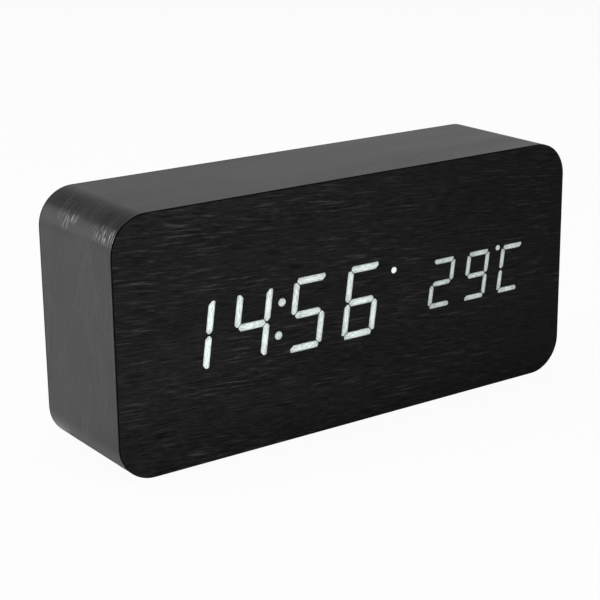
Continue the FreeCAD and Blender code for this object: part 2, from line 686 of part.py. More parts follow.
def chip_package(name, x, z, width, pins, board_face, way):
    """A small-outline chip with gull-wing pins, standing off its board; way is 1 towards the rear."""
    height, thickness = size("package_height"), size("package_thickness")
    stand, pin_width, pin_reach, pin_thickness = 0.2, 0.4, 1.2, 0.2
    knee_height, knee_depth = 1.2, 0.3
    low = board_face + way * stand
    body_corner = Vector(x - width / 2, min(low, low + way * thickness), z - height / 2)
    moulding = Part.makeBox(width, thickness, height, body_corner)
    legs = []
    pitch = width / (pins / 2)
    for i in range(int(pins / 2)):
        left = x - width / 2 + (i + 0.5) * pitch - pin_width / 2
        for side in (-1, 1):
            root = z + side * height / 2
            foot = Vector(left, min(board_face, board_face + way * pin_thickness),
                          min(root, root + side * pin_reach))
            legs.append(Part.makeBox(pin_width, pin_thickness, pin_reach, foot))
            knee = Vector(left, min(board_face, board_face + way * knee_height),
                          min(root, root + side * knee_depth))
            legs.append(Part.makeBox(pin_width, knee_height, knee_depth, knee))
    return keep(feature(name, moulding.fuse(legs).removeSplitter()), name)


chip_package("display_driver", size("display_place - driver_side"), size("middle"),
             size("driver_width"), 28, size("display_back"), 1)

# Ribbon cable from the display board to the main board, in a socket at each end.
keep(box("display_socket", "ribbon_place", "middle + ribbon_drop", "socket_width", "socket_height",
         "display_back", "display_back + socket_thickness"), "display_socket")
keep(box("board_socket", "ribbon_place", "middle - ribbon_drop", "socket_width", "socket_height",
         "main_front - socket_thickness", "main_front"), "board_socket")


def bent_path(points, radius):
    """Straight runs through the points, joined by arcs of one radius on the centre line."""
    edges = []
    start = points[0]
    for i in range(1, len(points) - 1):
        back = (points[i - 1] - points[i]).normalize()
        ahead = (points[i + 1] - points[i]).normalize()
        turn = math.pi - back.getAngle(ahead)
        trim = radius * math.tan(turn / 2)
        first, last = points[i] + back * trim, points[i] + ahead * trim
        inward = (back + ahead).normalize()
        centre = points[i] + inward * (radius / math.cos(turn / 2))
        edges.append(Part.LineSegment(start, first).toShape())
        edges.append(Part.Arc(first, centre - inward * radius, last).toShape())
        start = last
    edges.append(Part.LineSegment(start, points[-1]).toShape())
    return Part.Wire(edges)


ribbon_from, ribbon_to = size("display_back + socket_thickness"), size("main_front - socket_thickness")
ribbon_high, ribbon_low = size("middle + ribbon_drop"), size("middle - ribbon_drop")
ribbon_turn = (ribbon_from + ribbon_to) / 2
ribbon_x, ribbon_w, ribbon_t = size("ribbon_place"), size("ribbon_width"), size("ribbon_thickness")
path = bent_path([Vector(ribbon_x, ribbon_from, ribbon_high), Vector(ribbon_x, ribbon_turn, ribbon_high),
                  Vector(ribbon_x, ribbon_turn, ribbon_low), Vector(ribbon_x, ribbon_to, ribbon_low)],
                 size("ribbon_bend"))
section = Part.makePolygon([Vector(ribbon_x + i * ribbon_w / 2, ribbon_from, ribbon_high + k * ribbon_t / 2)
                            for i, k in ((-1, -1), (1, -1), (1, 1), (-1, 1), (-1, -1))])
keep(feature("ribbon", path.makePipeShell([section], True, False)), "ribbon_cable")

# Rear cover: plate, battery bay, hinge trough, board posts and openings.
cover = body("cover")
plate = add_block(cover, "0", "middle", "rebate_width - 2 * cover_gap", "rebate_height - 2 * cover_gap",
                  "cover_front", "cover_back")
round_corners(cover, plate, "0", "middle", "rebate_width - 2 * cover_gap",
              "rebate_height - 2 * cover_gap", "max(rebate_round - cover_gap; 0.3)")
add_block(cover, "bay_place", "bay_level", "bay_length + 2 * bay_wall", "bay_height + 2 * bay_wall",
          "tub_front", "cover_front + cover_thickness / 2")
add_block(cover, "bay_place", "trough_bottom - bay_wall / 2 + trough_height / 2",
          "door_width + 2 * bay_wall", "trough_height + bay_wall", "trough_floor - bay_wall",
          "cover_front + cover_thickness / 2")
for x, z in corners("main_board_place", "post_side", "middle", "post_rise"):
    add_round(cover, x, z, "post_radius", "main_back", "cover_front + cover_thickness / 2")
    cut_round(cover, x, z, "board_screw_shank", "main_back",
              "main_front + board_screw_length")
cut_block(cover, "bay_place", "bay_level", "bay_length", "bay_height", "bay_floor", "cover_back")
cut_block(cover, "bay_place", "door_level", "door_width + 2 * door_gap", "door_height + 2 * door_gap",
          "door_seat", "cover_back")
cut_block(cover, "bay_place", "hinge_level", "door_width + 2 * door_gap", "trough_height",
          "trough_floor", "cover_back")
cut_block(cover, "bay_place", "door_top + door_gap + notch_height / 2", "notch_width", "notch_height",
          "cover_back - notch_depth", "cover_back")
for i in (-1, 0, 1):
    cut_round(cover, f"main_board_place + {i} * button_pitch", "button_level", "button_radius + button_gap",
              "cover_front", "cover_back")
cut_block(cover, "jack_place", "jack_level", "jack_width + 2 * jack_gap", "jack_width + 2 * jack_gap",
          "cover_front", "cover_back")
cut_round(cover, "buzzer_place", "buzzer_level", "sound_hole", "cover_front", "cover_back")
for i in range(6):
    cut_round(cover, f"buzzer_place + sound_ring * cos({60 * i})",
              f"buzzer_level + sound_ring * sin({60 * i})", "sound_hole", "cover_front", "cover_back")
cut_round(cover, "microphone_place", "microphone_level", "sound_hole", "cover_front", "cover_back")
for i in (-1, 0, 1):
    cut_block(cover, f"sensor_place + {i} * vent_pitch", "sensor_level", "vent_width", "vent_height",
              "cover_front", "cover_back")
for x, z in corners("0", "cover_screw_side", "middle", "cover_screw_rise"):
    cut_round(cover, x, z, "screw_shank", "cover_front", "cover_back")
    cut_round(cover, x, z, "screw_head + head_gap", "cover_sink", "cover_back")
pin_holes = bar_across("pin_holes", "hinge_depth", "hinge_level", "hinge_pin + hinge_pin_gap",
                       "bay_place - door_width / 2 - hinge_pin_length - hinge_pin_spare",
                       "bay_place + door_width / 2 + hinge_pin_length + hinge_pin_spare")
keep(cut("cover_drilled", cover, pin_holes), "rear_cover")
screws("cover_screws", corners("0", "cover_screw_side", "middle", "cover_screw_rise"),
       "screw_shank", "screw_head", "screw_length", "cover_sink", 1)

# Battery door: a plate that turns on two pins at its lower edge, with ribs for the thumb.
door_plate = box("door_plate", "bay_place", "door_level", "door_width", "door_height",
                 "door_front", "cover_back")
door_barrel = bar_across("door_barrel", "hinge_depth", "hinge_level", "hinge_radius",
                         "bay_place - door_width / 2", "bay_place + door_width / 2")
door_pins = bar_across("door_pins", "hinge_depth", "hinge_level", "hinge_pin",
                       "bay_place - door_width / 2 - hinge_pin_length",
                       "bay_place + door_width / 2 + hinge_pin_length")
door_ribs = [box(f"door_rib_{i}", "bay_place", f"door_top - grip_setback - {i} * grip_pitch", "grip_width",
                 "grip_height", "cover_back - door_thickness / 2", "cover_back + grip_proud")
             for i in range(4)]
keep(fuse("door", [door_plate, door_barrel, door_pins] + door_ribs), "battery_door")

# Battery cells, side by side and head to tail.
CELLS = ((-1, 1), (0, -1), (1, 1))
ARCS_A_TURN = 6


def cell(index, way):
    """A round cell; way is 1 when its cap points right."""
    flat = size("bay_left + contact_thickness + spring_length")
    if way < 0:
        flat = size("bay_right - contact_thickness - spring_length")
    start = Vector(flat, size("cell_depth"), size("bay_level") + index * size("cell_pitch"))
    axis = Vector(way, 0, 0)
    shell = Part.makeCylinder(size("cell_radius"), size("cell_length"), start, axis)
    shell = shell.makeFillet(size("cell_edge"), [e for e in shell.Edges if isinstance(e.Curve, Part.Circle)])
    cap = Part.makeCylinder(size("cell_cap_radius"), size("cell_length + cell_cap_length"), start, axis)
    return shell.fuse(cap).removeSplitter()


keep(feature("cells", Part.makeCompound([cell(*place) for place in CELLS])), "battery_cells")


def spring(index, way):
    """A coil spring between a cell's flat end and its contact plate, swept along short arcs."""
    wire, radius, turns = size("spring_wire"), size("spring_radius"), size("spring_turns")
    height = size("spring_length") - 2 * wire
    steps = 2 * round(ARCS_A_TURN * turns)
    points = []
    for i in range(steps + 1):
        angle = 2 * math.pi * turns * i / steps
        points.append(Vector(radius * math.cos(angle), radius * math.sin(angle), height * i / steps))
    coil = Part.Wire([Part.Arc(*points[i:i + 3]).toShape() for i in range(0, steps, 2)])
    ring = Part.Wire(Part.makeCircle(wire, points[0], Vector(0, 1, 0)))
    solid = coil.makePipeShell([ring], True, False, 1)
    root = size("bay_left + contact_thickness") if way > 0 else size("bay_right - contact_thickness")
    solid.Placement = FreeCAD.Placement(
        Vector(root + way * wire, size("cell_depth"), size("bay_level") + index * size("cell_pitch")),
        Rotation(Vector(0, 1, 0), 90 * way))
    return solid


keep(feature("springs", Part.makeCompound([spring(*place) for place in CELLS])), "battery_springs")

# Contact plates at both ends of the bay: each side has one plate for a single cell and one that
# bridges two cells.
contact_plates = []
for name, left, level, height in (
        ("left_single", "bay_left", "bay_level + cell_pitch", "contact_width"),
        ("left_bridge", "bay_left", "bay_level - cell_pitch / 2", "cell_pitch + contact_width"),
        ("right_single", "bay_right - contact_thickness", "bay_level - cell_pitch", "contact_width"),
        ("right_bridge", "bay_right - contact_thickness", "bay_level + cell_pitch / 2",
         "cell_pitch + contact_width")):
    contact_plates.append(box(f"contact_{name}", f"({left}) + contact_thickness / 2", level,
                              "contact_thickness", height, "cell_depth - contact_width / 2",
                              "cell_depth + contact_width / 2"))
keep(group("contacts", contact_plates), "battery_contacts")

# Leads from the bay's two end contacts round the bay to the main board.
lead_pad = size("main_board_place - main_board_width / 2 + lead_inset")


def lead(points):
    """A round insulated wire along a bent path."""
    path = bent_path([Vector(*point) for point in points], size("lead_bend"))
    start, ahead = Vector(*points[0]), Vector(*points[1]) - Vector(*points[0])
    ring = Part.Wire(Part.makeCircle(size("lead_radius"), start, ahead))
    return path.makePipeShell([ring], True, False)


high, low = size("bay_level + cell_pitch"), size("bay_level - cell_pitch")
past = size("tub_front - lead_clear")
depth = size("cell_depth")
leads = []
for level, wall, way in ((high, "bay_left - bay_wall", -1), (low, "bay_right + bay_wall", 1)):
    out = size(wall)
    turn = out + way * size("lead_run")
    leads.append(lead([(out, depth, level), (turn, depth, level), (turn, past, level),
                       (lead_pad, past, level), (lead_pad, size("main_front"), level)]))
keep(feature("leads", Part.makeCompound(leads)), "battery_leads")

# Main board on the cover's posts.
main = body("main")
add_block(main, "main_board_place", "middle", "main_board_width", "main_board_height",
          "main_front", "main_back")
post_places = corners("main_board_place", "post_side", "middle", "post_rise")
for x, z in post_places:
    cut_round(main, x, z, "board_screw_shank", "main_front", "main_back")
keep(main, "main_board")
screws("board_screws", post_places, "board_screw_shank", "board_screw_head",
       "board_screw_length", "main_front", -1)

chip_package("microcontroller", size("main_board_place - processor_side"),
             size("middle + processor_rise"), size("processor_width"), 20, size("main_front"), -1)

# Clock crystal: a flat can on its base plate, both with round ends.
def stadium(name, x, z, width, height, y_from, y_to):
    """A block with half-round ends, as long as width."""
    parts = [box(f"{name}_middle", x, z, f"({width}) - ({height})", height, y_from, y_to)]
    for side in (-1, 1):
        end = f"({x}) + {side} * (({width}) - ({height})) / 2"
        parts.append(rod(f"{name}_end", end, z, f"({height}) / 2", y_from, y_to))
    return parts


crystal_x, crystal_z = "main_board_place + crystal_side", "middle + crystal_rise"
keep(fuse("crystal", stadium("base", crystal_x, crystal_z, "crystal_width + 2 * crystal_lip",
                             "crystal_height + 2 * crystal_lip", "main_front - crystal_lip", "main_front")
          + stadium("can", crystal_x, crystal_z, "crystal_width", "crystal_height",
                    "main_front - crystal_stand", "main_front")),
     "clock_crystal")

# Smoothing capacitor: an upright can with a rolled groove near its foot.
capacitor = body("capacitor")
groove = "main_front - capacitor_foot"
for radius, y_from, y_to in (
        ("capacitor_radius", "main_front - capacitor_length", f"{groove} - capacitor_groove"),
        ("capacitor_radius - capacitor_groove / 2", f"{groove} - 1.2 * capacitor_groove",
         f"{groove} + 0.2 * capacitor_groove"),
        ("capacitor_radius", groove, "main_front")):
    add_round(capacitor, "main_board_place + capacitor_side", "middle + capacitor_rise", radius,
              y_from, y_to)
keep(capacitor, "smoothing_capacitor")

# Alarm buzzer: a round can with a sound hole.
buzzer = body("buzzer")
add_round(buzzer, "buzzer_place", "buzzer_level", "buzzer_radius", "main_back", "buzzer_back")
cut_round(buzzer, "buzzer_place", "buzzer_level", "buzzer_mouth", "buzzer_back - buzzer_mouth_depth",
          "buzzer_back")
keep(buzzer, "alarm_buzzer")

# Microphone: a small can with a felt-covered mouth.
capsule = body("capsule")
add_round(capsule, "microphone_place", "microphone_level", "microphone_radius", "main_back",
          "main_back + microphone_height")
cut_round(capsule, "microphone_place", "microphone_level", "microphone_felt",
          "main_back + microphone_height - microphone_rim", "main_back + microphone_height")
keep(capsule, "microphone")

# Temperature sensor: a resin bead on two stiff leads, behind the air slots.
bead_centre = Vector(size("sensor_place"), size("main_back + sensor_reach"), size("sensor_level"))
sensor = Part.makeSphere(size("sensor_bead"), bead_centre)
for side in (-1, 1):
    foot = Vector(bead_centre.x + side * size("sensor_spread"), size("main_back"), bead_centre.z)
    sensor = sensor.fuse(Part.makeCylinder(size("sensor_lead"), size("sensor_reach"), foot, Vector(0, 1, 0)))
keep(feature("sensor", sensor), "temperature_sensor")

# Power socket: a square moulding with a round mouth and a pin in its middle.
jack = body("jack")
add_block(jack, "jack_place", "jack_level", "jack_width", "jack_width", "main_back", "jack_back")
cut_round(jack, "jack_place", "jack_level", "jack_bore", "jack_back - jack_depth", "jack_back")
keep(jack, "power_socket")
keep(rod("jack_contact", "jack_place", "jack_level", "jack_pin", "jack_back - jack_depth",
         "jack_back - jack_pin_setback"), "socket_pin")

# Three push switches, with a well for each stem.
BUTTONS = (("set", 1), ("up", 0), ("down", -1))
switches = []
for name, index in BUTTONS:
    x = f"main_board_place + {index} * button_pitch"
    shell = body(f"{name}_switch")
    add_block(shell, x, "button_level", "switch_width", "switch_width", "main_back", "switch_top")
    cut_round(shell, x, "button_level", "plunger_radius + plunger_gap",
              "switch_top - plunger_depth - button_travel - plunger_gap", "switch_top")
    switches.append(shell)
keep(group("switches", switches), "switch_bodies")

# Their stems and the caps in the cover that press them.
for name, index in BUTTONS:
    x = f"main_board_place + {index} * button_pitch"
    keep(rod(f"{name}_stem", x, "button_level", "plunger_radius", "switch_top - plunger_depth",
             "plunger_top"), f"{name}_plunger")
    cap = body(f"{name}_cap")
    add_round(cap, x, "button_level", "stem_radius", "plunger_top", "flange_front + flange_thickness / 2")
    add_round(cap, x, "button_level", "flange_radius", "flange_front", "flange_back")
    add_round(cap, x, "button_level", "button_radius", "flange_front + flange_thickness / 2", "cap_top")
    cut_round(cap, x, "button_level", "button_radius - button_rim", "cap_top - button_dish", "cap_top")
    keep(cap, f"{name}_button")

doc.recompute()
for thing in doc.Objects:
    if any(word in thing.State for word in ("Invalid", "Error")):
        raise RuntimeError(f"{thing.Name} failed: {thing.State}")
os.makedirs("parts", exist_ok=True)
for piece in pieces:
    if piece.Shape.isNull() or not piece.Shape.isValid():
        raise RuntimeError(f"{piece.Label} has no valid shape")
    piece.Shape.exportStep(f"parts/{piece.Label}.step")
    print(f"{piece.Label}: {len(piece.Shape.Solids)} solids, {piece.Shape.Volume:.1f} mm3")
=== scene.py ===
"""Block desk clock: the looks of the veneered block, its glowing digits, and its rear cover."""
import math

import bmesh
import bpy
from mathutils import Matrix, Vector


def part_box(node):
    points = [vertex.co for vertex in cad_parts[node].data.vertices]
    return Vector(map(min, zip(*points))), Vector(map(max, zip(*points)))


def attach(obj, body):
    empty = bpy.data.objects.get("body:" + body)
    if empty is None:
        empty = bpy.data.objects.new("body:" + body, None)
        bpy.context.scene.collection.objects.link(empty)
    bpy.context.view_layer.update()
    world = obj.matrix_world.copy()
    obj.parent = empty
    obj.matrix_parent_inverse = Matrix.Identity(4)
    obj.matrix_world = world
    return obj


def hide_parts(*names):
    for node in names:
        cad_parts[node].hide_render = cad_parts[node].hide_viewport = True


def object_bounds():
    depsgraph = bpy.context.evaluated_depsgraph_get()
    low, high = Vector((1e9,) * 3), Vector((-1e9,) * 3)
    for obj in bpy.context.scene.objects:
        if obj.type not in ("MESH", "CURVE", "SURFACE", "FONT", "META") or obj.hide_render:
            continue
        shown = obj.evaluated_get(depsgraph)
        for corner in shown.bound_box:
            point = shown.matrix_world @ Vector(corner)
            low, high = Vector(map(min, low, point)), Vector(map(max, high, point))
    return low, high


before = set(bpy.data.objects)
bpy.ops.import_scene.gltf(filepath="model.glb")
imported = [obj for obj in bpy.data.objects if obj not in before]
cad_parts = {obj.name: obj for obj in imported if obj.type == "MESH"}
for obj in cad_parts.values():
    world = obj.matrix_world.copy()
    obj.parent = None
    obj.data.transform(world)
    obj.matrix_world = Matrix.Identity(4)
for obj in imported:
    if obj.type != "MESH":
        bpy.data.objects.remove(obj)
cad_box = [list(corner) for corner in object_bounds()]
scene = bpy.context.scene
MM = 0.001

# The camera stands in front of the clock, to its left and a little above it, and looks at the
# middle of the block.
PICTURE = 600
SENSOR = 36
FOCAL_PIXELS = 1662.3
SHIFT_PIXELS = (-17.1, -15.0)
AZIMUTH, ELEVATION, ROLL = math.radians(-35.72), math.radians(16.76), math.radians(-0.45)
DISTANCE = 465.35 * MM
NEAREST, FARTHEST = 0.01, 20

camera_data = bpy.data.cameras.new("camera")
camera_data.sensor_width = SENSOR
camera_data.lens = SENSOR * FOCAL_PIXELS / PICTURE
camera_data.shift_x, camera_data.shift_y = (shift / PICTURE for shift in SHIFT_PIXELS)
camera_data.clip_start, camera_data.clip_end = NEAREST, FARTHEST
camera = bpy.data.objects.new("camera", camera_data)
scene.collection.objects.link(camera)
away = Vector((math.sin(AZIMUTH) * math.cos(ELEVATION),
               -math.cos(AZIMUTH) * math.cos(ELEVATION), math.sin(ELEVATION)))
camera.location = Vector((0, 0, cad_box[1][2] / 2)) + DISTANCE * away
facing = away.to_track_quat("Z", "Y").to_matrix() @ Matrix.Rotation(ROLL, 3, "Z")
camera.rotation_euler = facing.to_euler()
scene.camera = camera

# Floor: a plain pale sheet that the clock stands on. The camera sees it as white, with the clock's
# own faint shadow.
FLOOR_HALF = 4.0
FLOOR_COLOUR = (0.82, 0.82, 0.82, 1)
FLOOR_WHITENESS = 0.95


class Nodes:
    """A node tree in the making."""

    def __init__(self, tree):
        self.tree = tree

    def add(self, kind, *numbered, **named):
        """A new node. Capitalised names are its sockets, and the others its own options."""
        node = self.tree.nodes.new(f"ShaderNode{kind}")
        for name, value in named.items():
            if name[0].islower():
                setattr(node, name, value)
        sockets = [(node.inputs[i], value) for i, value in enumerate(numbered)]
        sockets += [(node.inputs[name.replace("_", " ")], value)
                    for name, value in named.items() if name[0].isupper()]
        for socket, value in sockets:
            self.feed(socket, value)
        return node

    def feed(self, socket, value):
        """Set a socket to a number or colour, or wire another node's output to it."""
        if isinstance(value, bpy.types.NodeSocket):
            self.tree.links.new(value, socket)
        else:
            socket.default_value = value

    def place(self, scale=(1, 1, 1), turn=0.0, source="Object"):
        """Coordinates stretched by scale, after a turn about Y, the way the front faces."""
        spot = self.add("TexCoord").outputs[source]
        turned = self.add("Mapping", Vector=spot, Rotation=(0, turn, 0)).outputs[0]
        return self.add("Mapping", Vector=turned, Scale=scale).outputs[0]

    def noise(self, place, detail=2.0, roughness=0.5):
        return self.add("TexNoise", Vector=place, Scale=1.0, Detail=detail,
                        Roughness=roughness).outputs["Fac"]

    def maths(self, operation, first, second=0.0):
        return self.add("Math", first, second, operation=operation).outputs[0]

    def vectors(self, operation, first, second):
        return self.add("VectorMath", first, second, operation=operation).outputs[0]

    def spread(self, value, low, high, to_low=0.0, to_high=1.0):
        """Map the stretch from low to high onto another, held at its ends."""
        return self.add("MapRange", Value=value, From_Min=low, From_Max=high,
                        To_Min=to_low, To_Max=to_high).outputs[0]

    def mix(self, factor, first, second):
        """A colour between two. The node's colours go in at 6 and 7, and come out at 2."""
        node = self.add("Mix", factor, data_type="RGBA")
        for index, colour in ((6, first), (7, second)):
            self.feed(node.inputs[index], (*colour, 1) if isinstance(colour, tuple) else colour)
        return node.outputs[2]


class Finish(Nodes):
    """A material in the making: its node tree, and the Principled shader that the nodes feed."""

    def __init__(self, name, roughness=0.5, metallic=0.0, specular=0.5):
        self.material = bpy.data.materials.new(name)
        self.material.use_nodes = True
        super().__init__(self.material.node_tree)
        self.shader = self.tree.nodes["Principled BSDF"]
        for socket, value in (("Roughness", roughness), ("Metallic", metallic),
                              ("Specular IOR Level", specular)):
            self.shader.inputs[socket].default_value = value

    def bump(self, height, distance):
        normal = self.add("Bump", Height=height, Distance=distance, Strength=1.0).outputs[0]
        self.feed(self.shader.inputs["Normal"], normal)

    def wear(self, colour, roughness=None):
        """Feed the shader its colour, and its roughness if that varies."""
        self.feed(self.shader.inputs["Base Color"], colour)
        if roughness is not None:
            self.feed(self.shader.inputs["Roughness"], roughness)
        return self.material


mesh = bmesh.new()
bmesh.ops.create_grid(mesh, x_segments=2, y_segments=2, size=FLOOR_HALF)
floor_data = bpy.data.meshes.new("floor")
mesh.to_mesh(floor_data)
mesh.free()
floor = bpy.data.objects.new("floor", floor_data)
scene.collection.objects.link(floor)
paper = Finish("floor_paper", roughness=0.9, specular=0.1)
rays = paper.add("LightPath")
seen = paper.maths("MULTIPLY", rays.outputs["Is Camera Ray"], FLOOR_WHITENESS)
white = paper.add("Emission", Color=(1, 1, 1, 1), Strength=1.0)
both = paper.add("MixShader", seen, paper.shader.outputs[0], white.outputs[0])
paper.feed(paper.tree.nodes["Material Output"].inputs["Surface"], both.outputs[0])
floor_data.materials.append(paper.wear(FLOOR_COLOUR))

# Studio: the camera sees white all round. As light the room is dimmer, and dimmest in front and
# overhead, and four softboxes stand round the clock.
BACK_LIGHT, FRONT_LIGHT, OVERHEAD_SHARE = 0.40, 0.15, 0.25
FRONT_FADE, OVERHEAD_START, OVERHEAD_END = 0.3, 0.40, 0.62
LAMP_AIM = Vector((0, 0, 0.03))
LAMPS = {
    # name: place, size, watts
    "top_softbox": ((-0.1, 0.1, 1.1), 0.9, 6.0),
    "left_softbox": ((-0.9, 0.2, 0.3), 0.5, 5.5),
    "rear_left_softbox": ((-0.56, 0.76, 0.17), 0.5, 0.5),
    "front_softbox": ((0.2, -0.75, 0.15), 0.9, 3.5),
}

world = bpy.data.worlds.new("studio")
world.use_nodes = True
scene.world = world
studio = Nodes(world.node_tree)
direction = studio.add("SeparateXYZ", studio.add("TexCoord").outputs["Generated"])
level = studio.add("MapRange", Value=direction.outputs["Y"], From_Min=-FRONT_FADE,
                   From_Max=FRONT_FADE, To_Min=FRONT_LIGHT, To_Max=BACK_LIGHT,
                   interpolation_type="SMOOTHSTEP").outputs[0]
dimming = studio.spread(direction.outputs["Z"], OVERHEAD_START, OVERHEAD_END, 1.0, OVERHEAD_SHARE)
light = studio.maths("MULTIPLY", level, dimming)
seen = studio.maths("MAXIMUM", light, studio.add("LightPath").outputs["Is Camera Ray"])
background = world.node_tree.nodes["Background"]
studio.feed(background.inputs["Strength"], seen)
studio.feed(background.inputs["Color"], (1, 1, 1, 1))

for name, (place, size, watts) in LAMPS.items():
    lamp_data = bpy.data.lights.new(name, "AREA")
    lamp_data.size = size
    lamp_data.energy = watts
    lamp = bpy.data.objects.new(name, lamp_data)
    lamp.location = place
    lamp.rotation_euler = (Vector(place) - LAMP_AIM).to_track_quat("Z", "Y").to_euler()
    scene.collection.objects.link(lamp)

scene.view_settings.view_transform = "Standard"

# Wrap veneer: a strip of black wood-grain film, pressed round the block from a butt joint under it.
# Where it turns from the upright sides into the upper bends, short pale streaks are painted into
# its colour: a painted highlight of the lamps glinting off its pores.
FILM = 0.4 * MM
SEAM = 0.2 * MM
CORNER = 10.0 * MM
CORNER_STEPS = 20
CUT_EASE = 0.12 * MM
CUT_ROUND = 0.3 * CUT_EASE
MIRROR_WELD = 0.001 * MM
SHARP = math.radians(20)
# Nearly all of a noise lies in this range.
NOISE_RANGE = (0.3, 0.7)
# Features a metre, along the grain and across it.
SWAYS, BANDS, CLUSTERS, FIBRES, PORES = (14, 40), (12, 70), (22, 75), (270, 2800), (105, 1600)
SWAY_REACH, GRAIN_DROOP = 4 * MM, math.radians(4.5)
# Where in its noise each of them starts, and where it is full.
BAND_EDGES, CLUSTER_EDGES, FIBRE_EDGES = (0.35, 0.65), (0.38, 0.58), (0.46, 0.75)
LIGHT_PORE_EDGES, DARK_PORE_EDGES = (0.55, 0.66), (0.45, 0.34)
FIBRE_SHARE, DARK_PORE_SHARE, DARK_PORE_SHADE = 0.52, 0.85, 0.2
FIBRE_RELIEF, FIBRE_GLOSS, BAND_GLOSS = 0.5, 0.08, 0.08
# Ground, bands and pores, then specular level, roughness and relief.
WRAP_FILM = ((0.0030, 0.0030, 0.0032), (0.0165, 0.016, 0.016), (0.040, 0.040, 0.040),
             0.48, 0.24, 0.011 * MM)
# Painted highlight: the pale colour of the glint streaks painted round the wrap's upper bends, and
# the band and clusters where they lie.
PAINTED_GLINT = (0.27, 0.27, 0.27)
GLINT_LOW, GLINT_HIGH, GLINT_FADE = 61.8 * MM, 66.3 * MM, 1.6 * MM
GLINT_FIRST, GLINT_PITCH = 4 * MM, 20 * MM
GLINT_GRAIN, GLINT_EDGES = (260, 2000, 1), (0.53, 0.62)
PATCH_GRAIN, PATCH_SWING = (30, 160, 1), 0.7
PATCH_FRONT, PATCH_REAR = 0.55, -0.25
PATCH_EDGES, FEWEST_GLINTS = (-0.1, 0.8), 0.06


def film(name, source, ground, band, pore, specular, roughness, relief):
    """Wood-grain film, with its colour and its gloss to work on further.

    Fine pores, lighter and darker, run along the grain in loose clusters, over broad soft bands.
    Source is Object on the flat, where the grain droops, and UV on the wrap.
    """
    skin = Finish(name, specular=specular)
    flat = source == "Object"

    def grain(along, across):
        """Coordinates with so many features a metre along the grain and across it."""
        scale = (along, 1, across) if flat else (along, across, 1)
        return skin.place(scale, -GRAIN_DROOP if flat else 0.0, source)

    wave = skin.noise(grain(*SWAYS))
    sway = skin.add("CombineXYZ", 0, *((0, wave) if flat else (wave, 0))).outputs[0]

    def swaying(along, across):
        """The same, with the grain swaying across its run."""
        moved = skin.vectors("MULTIPLY", sway, (SWAY_REACH * across,) * 3)
        return skin.vectors("ADD", grain(along, across), moved)

    bands = skin.spread(skin.noise(swaying(*BANDS), detail=3), *BAND_EDGES)
    clusters = skin.spread(skin.noise(grain(*CLUSTERS)), *CLUSTER_EDGES)
    fibres = skin.noise(swaying(*FIBRES), detail=4, roughness=0.65)
    pores = skin.noise(swaying(*PORES), detail=4, roughness=0.62)
    light_pores = skin.maths("MULTIPLY", skin.spread(pores, *LIGHT_PORE_EDGES), clusters)
    dark_pores = skin.spread(pores, *DARK_PORE_EDGES, 0.0, DARK_PORE_SHARE)
    tone = skin.mix(bands, ground, band)
    tone = skin.mix(skin.spread(fibres, *FIBRE_EDGES, 0.0, FIBRE_SHARE), tone, pore)
    tone = skin.mix(dark_pores, tone, tuple(part * DARK_PORE_SHADE for part in ground))
    tone = skin.mix(light_pores, tone, pore)
    raised = skin.maths("ADD", skin.maths("MULTIPLY", fibres, FIBRE_RELIEF), light_pores)
    skin.bump(raised, relief)
    gloss = skin.spread(fibres, *NOISE_RANGE, roughness - FIBRE_GLOSS, roughness)
    gloss = skin.maths("ADD", gloss, skin.maths("MULTIPLY", bands, BAND_GLOSS))
    return skin, tone, gloss


def fit(name, mesh, body, materials, replaced=()):
    """Make a piece of a mesh, and fit it to a body, in place of CAD nodes if any are given."""
    data = bpy.data.meshes.new(name)
    mesh.to_mesh(data)
    mesh.free()
    data.shade_smooth()
    data.set_sharp_from_angle(angle=SHARP)
    for material in materials:
        data.materials.append(material)
    piece = bpy.data.objects.new(name, data)
    scene.collection.objects.link(piece)
    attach(piece, body)
    if replaced:
        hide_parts(*replaced)
    return piece


low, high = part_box("wrap_veneer")
section = [(low.y, FILM), (low.y, CUT_EASE), (low.y + CUT_ROUND, CUT_ROUND),
           (low.y + CUT_EASE, 0), (high.y - CUT_EASE, 0), (high.y - CUT_ROUND, CUT_ROUND),
           (high.y, CUT_EASE), (high.y, FILM)]
arc_step = math.pi / 2 / CORNER_STEPS
mesh = bmesh.new()
laid = mesh.verts.layers.float.new("laid")
cut_end = mesh.faces.new([mesh.verts.new((-SEAM / 2, y, low.z + depth)) for y, depth in section])
open_end, heading, gone = list(cut_end.edges), Vector((-1, 0, 0)), 0.0
for run, pivot_z in ((high.x - CORNER - SEAM / 2, low.z + CORNER),
                     (high.z - low.z - 2 * CORNER, high.z - CORNER), (high.x - CORNER, None)):
    steps = [(Matrix.Translation(heading * run), run)]
    if pivot_z is not None:
        pivot = Matrix.Translation((CORNER - high.x, 0, pivot_z))
        turn = pivot @ Matrix.Rotation(arc_step, 4, "Y") @ pivot.inverted()
        steps += [(turn, arc_step * CORNER)] * CORNER_STEPS
    for move, length in steps:
        drawn = bmesh.ops.extrude_edge_only(mesh, edges=open_end)["geom"]
        verts = [part for part in drawn if isinstance(part, bmesh.types.BMVert)]
        open_end = [part for part in drawn if isinstance(part, bmesh.types.BMEdge)]
        bmesh.ops.transform(mesh, matrix=move, verts=verts)
        gone += length
        for vert in verts:
            vert[laid] = gone
    heading = Matrix.Rotation(math.pi / 2, 3, "Y") @ heading
bmesh.ops.mirror(mesh, geom=mesh.verts[:] + mesh.edges[:] + mesh.faces[:], axis="X",
                 merge_dist=MIRROR_WELD)
bmesh.ops.recalc_face_normals(mesh, faces=mesh.faces)
laid_out = mesh.loops.layers.uv.new("laid_out")
for face in mesh.faces:
    right_half = face.calc_center_median().x > 0
    for loop in face.loops:
        run = 2 * gone - loop.vert[laid] if right_half else loop.vert[laid]
        loop[laid_out].uv = (run, loop.vert.co.y)

